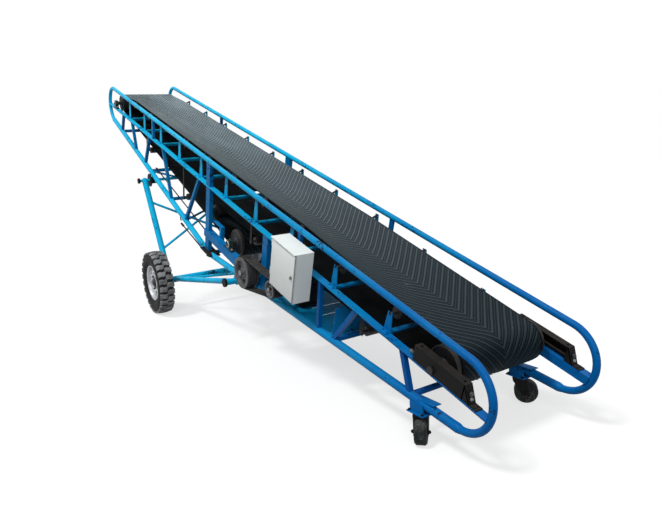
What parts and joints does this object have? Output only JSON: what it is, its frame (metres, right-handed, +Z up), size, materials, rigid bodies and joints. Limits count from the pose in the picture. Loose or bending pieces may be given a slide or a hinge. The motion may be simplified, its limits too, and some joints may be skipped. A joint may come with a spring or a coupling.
{
  "type": "mobile belt conveyor",
  "caption": "Inclined mobile belt conveyor: troughed belt on a blue tubular frame, with a raising undercarriage on road wheels, tail casters, a belt drive and a control box.",
  "frame": {"origin": "on the floor, in the middle of the machine's length and width", "axes": "+X towards the low feed end with the casters, +Y towards the side without the control box, +Z up"},
  "size_m": [7.4333, 1.592, 2.9339],
  "materials": {
    "blue_paint": "glossy enamel",
    "belt_rubber": "ribbed rubber",
    "black_paint": "satin",
    "roller_steel": "satin",
    "cast_iron": "machined casting",
    "bearing_paint": "dark green enamel",
    "cabinet_paint": "powder coat",
    "motor_paint": "satin",
    "shaft_steel": "turned",
    "vee_rubber": "matte",
    "tyre": "matte",
    "rim_paint": "silver paint",
    "caster_rubber": "matte"
  },
  "bodies": {
    "conveyor_frame": {"left_rail": "blue_paint", "left_lower_chord": "blue_paint", "left_mid_rail": "blue_paint", "left_posts": "blue_paint", "left_truss": "blue_paint", "right_rail": "blue_paint", "right_lower_chord": "blue_paint", "right_mid_rail": "blue_paint", "right_posts": "blue_paint", "right_truss": "blue_paint", "cross_members": "blue_paint", "chord_lattice": "blue_paint", "idler_frames": "blue_paint", "carrying_rollers": "roller_steel", "return_rollers": "roller_steel", "return_hangers": "blue_paint", "head_drum": "roller_steel", "drive_drum": "roller_steel", "tail_drum": "roller_steel", "snub_roller": "roller_steel", "head_bearings": "bearing_paint", "drive_bearings": "bearing_paint", "drive_frame": "blue_paint", "conveyor_belt": "belt_rubber", "drive_pulley": "cast_iron", "motor_pulley": "cast_iron", "jackshaft": "shaft_steel", "vee_belts": "vee_rubber", "chain_case": "blue_paint", "motor": "motor_paint", "motor_platform": "blue_paint", "rear_guard": "blue_paint", "control_box": "cabinet_paint", "left_take_up": "black_paint", "right_take_up": "black_paint", "pivot_hangers": "blue_paint", "winch": "black_paint", "left_caster_bracket": "blue_paint", "right_caster_bracket": "blue_paint"},
    "drawbar": {"drawbar": "blue_paint", "pivot_caps": "black_paint"},
    "legs": {"leg_frame": "blue_paint", "leg_pin_caps": "black_paint"},
    "left_leg_roller": {"left_leg_roller": "black_paint"},
    "right_leg_roller": {"right_leg_roller": "black_paint"},
    "left_road_wheel": {"left_wheel": "rim_paint", "left_tyre": "tyre"},
    "right_road_wheel": {"right_wheel": "rim_paint", "right_tyre": "tyre"},
    "left_caster_fork": {"left_caster_fork": "black_paint"},
    "left_caster_wheel": {"left_caster_wheel": "caster_rubber"},
    "right_caster_fork": {"right_caster_fork": "black_paint"},
    "right_caster_wheel": {"right_caster_wheel": "caster_rubber"},
    "box_door": {"box_door": "cabinet_paint"}
  },
  "joints": [
    {"name": "raise", "type": "hinge", "parent": "conveyor_frame", "child": "drawbar", "pos_m": [0.38348, 0, 0.6122], "axis": [0, -1, 0], "range_deg": [-12.5, 19]},
    {"name": "leg_swing", "type": "hinge", "parent": "drawbar", "child": "legs", "pos_m": [-1.37746, 0, 0.38], "axis": [0, -1, 0], "range_deg": [-45.5, 29.9]},
    {"name": "left_leg_roller_spin", "type": "hinge", "parent": "legs", "child": "left_leg_roller", "pos_m": [-1.95965, -0.45, 1.59169], "axis": [0, 1, 0], "continuous": true},
    {"name": "right_leg_roller_spin", "type": "hinge", "parent": "legs", "child": "right_leg_roller", "pos_m": [-1.95965, 0.45, 1.59169], "axis": [0, 1, 0], "continuous": true},
    {"name": "left_wheel_spin", "type": "hinge", "parent": "drawbar", "child": "left_road_wheel", "pos_m": [-1.37746, -0.706, 0.38], "axis": [0, 1, 0], "continuous": true},
    {"name": "right_wheel_spin", "type": "hinge", "parent": "drawbar", "child": "right_road_wheel", "pos_m": [-1.37746, 0.706, 0.38], "axis": [0, 1, 0], "continuous": true},
    {"name": "left_caster_swivel", "type": "hinge", "parent": "conveyor_frame", "child": "left_caster_fork", "pos_m": [3.10692, -0.45, 0.15], "axis": [0, 0, 1], "continuous": true},
    {"name": "left_caster_spin", "type": "hinge", "parent": "left_caster_fork", "child": "left_caster_wheel", "pos_m": [3.13557, -0.48072, 0.08], "axis": [0.7314, 0.682, 0], "continuous": true},
    {"name": "right_caster_swivel", "type": "hinge", "parent": "conveyor_frame", "child": "right_caster_fork", "pos_m": [3.10692, 0.45, 0.15], "axis": [0, 0, 1], "continuous": true},
    {"name": "right_caster_spin", "type": "hinge", "parent": "right_caster_fork", "child": "right_caster_wheel", "pos_m": [3.13764, 0.47864, 0.08], "axis": [-0.682, 0.7314, 0], "continuous": true},
    {"name": "box_door_hinge", "type": "hinge", "parent": "conveyor_frame", "child": "box_door", "pos_m": [1.57657, -0.625, 0.99632], "axis": [-0.309, 0, -0.9511], "range_deg": [0, 110]}
  ],
  "couplings": [
    {"joint": "leg_swing", "follows": "raise", "ratio": -2.3898}
  ]
}
